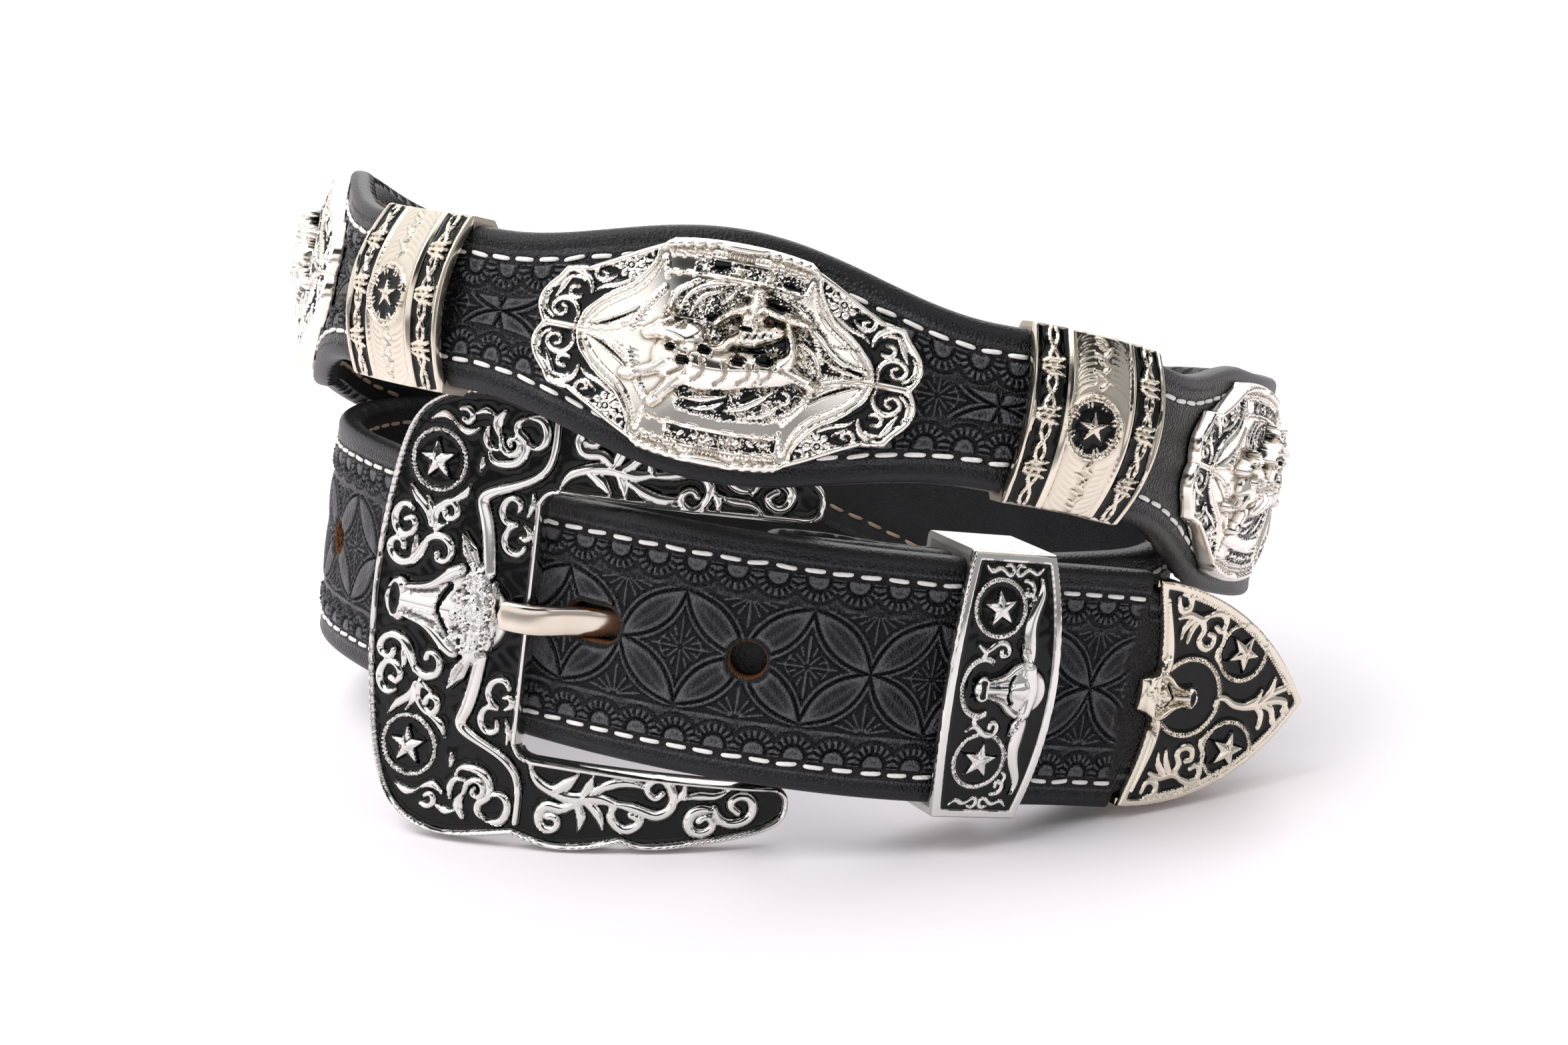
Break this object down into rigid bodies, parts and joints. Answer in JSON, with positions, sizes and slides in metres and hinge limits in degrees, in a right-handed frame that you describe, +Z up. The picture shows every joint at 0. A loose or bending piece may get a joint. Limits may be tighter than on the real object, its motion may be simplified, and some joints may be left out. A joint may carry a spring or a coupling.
{
  "type": "concho belt",
  "caption": "Western leather concho belt, buckled and coiled in two turns on its edge, with cast buckle, keeper, tip, conchos and bands.",
  "frame": {"origin": "on the floor under the middle of the coiled belt's box", "axes": "+Z up along the strap's width, +X to the viewer's right along the length of the coil, +Y away from the buckle towards the back strands"},
  "size_m": [0.1678, 0.144, 0.0961],
  "materials": {
    "tooled_leather": "black tooled leather, satin, white stitching",
    "silver_metal": "polished cast metal with black enamel grounds",
    "pale_gold_metal": "polished pale gold cast metal with black enamel grounds",
    "black_enamel": "glossy black enamel",
    "thread": "waxed white sewing thread"
  },
  "bodies": {
    "root": {"strap": "tooled_leather", "buckle": "silver_metal", "prong": "silver_metal", "keeper": "silver_metal", "tip": "pale_gold_metal", "concho_left": "pale_gold_metal", "concho_centre": "pale_gold_metal", "concho_right": "pale_gold_metal", "band_left": "pale_gold_metal", "band_right": "pale_gold_metal"}
  },
  "joints": []
}
